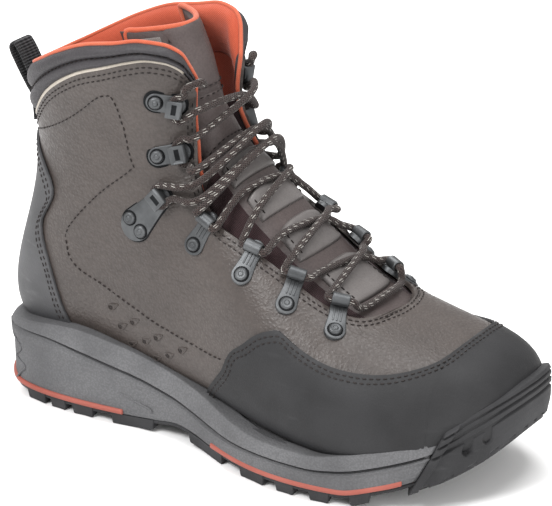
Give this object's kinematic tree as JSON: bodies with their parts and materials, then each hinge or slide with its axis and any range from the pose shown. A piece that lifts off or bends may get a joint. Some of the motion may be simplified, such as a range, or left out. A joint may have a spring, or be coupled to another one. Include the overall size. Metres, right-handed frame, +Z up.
{
  "type": "wading boot",
  "caption": "Right wading boot in brown-grey leather with rubber toe rand, padded collar, metal lace holders, grey foam midsole and lugged rubber outsole.",
  "frame": {"origin": "on the floor plane, at the middle of the heel's contact patch", "axes": "+X towards the toe, +Y towards the inner (medial) side of the foot, +Z up"},
  "size_m": [0.3072, 0.1223, 0.2142],
  "materials": {
    "leather": "brown-grey, lightly grained, matt, raw cream edge at the top",
    "insole_cloth": "plain dark cloth",
    "tongue_padding": "brown-grey padding with smooth grey panels",
    "cuff_padding": "dark grey padded cloth with a bright lining",
    "rand_rubber": "near-black, satin",
    "counter": "mid grey, satin, double stitched edge",
    "foam": "mid grey foam with a fine grain, matt",
    "bright_layer": "bright orange, matt",
    "outsole_rubber": "dark grey rubber, matt",
    "webbing": "black ribbed webbing",
    "lace_metal": "dark gunmetal, satin",
    "lace_cord": "dark brown braid with pale flecks"
  },
  "bodies": {
    "root": {"upper": "leather", "insole": "insole_cloth", "tongue": "tongue_padding", "cuff": "cuff_padding", "toe_rand": "rand_rubber", "heel_counter": "counter", "midsole": "foam", "heel_layer": "bright_layer", "forefoot_layer": "bright_layer", "outsole": "outsole_rubber", "pull_loop": "webbing", "lace_loop_lateral_1": "lace_metal", "lace_loop_medial_1": "lace_metal", "lace_loop_lateral_2": "lace_metal", "lace_loop_medial_2": "lace_metal", "lace_loop_lateral_3": "lace_metal", "lace_loop_medial_3": "lace_metal", "lace_loop_lateral_4": "lace_metal", "lace_loop_medial_4": "lace_metal", "lace_lock_lateral_1": "lace_metal", "lace_lock_medial_1": "lace_metal", "lace_hook_lateral_1": "lace_metal", "lace_hook_medial_1": "lace_metal", "lace_hook_lateral_2": "lace_metal", "lace_hook_medial_2": "lace_metal", "lace_bar": "lace_cord", "lace_crossing_1": "lace_cord", "lace_crossing_2": "lace_cord", "lace_crossing_3": "lace_cord", "lace_crossing_4": "lace_cord", "lace_crossing_5": "lace_cord", "lace_crossing_6": "lace_cord"}
  },
  "joints": []
}
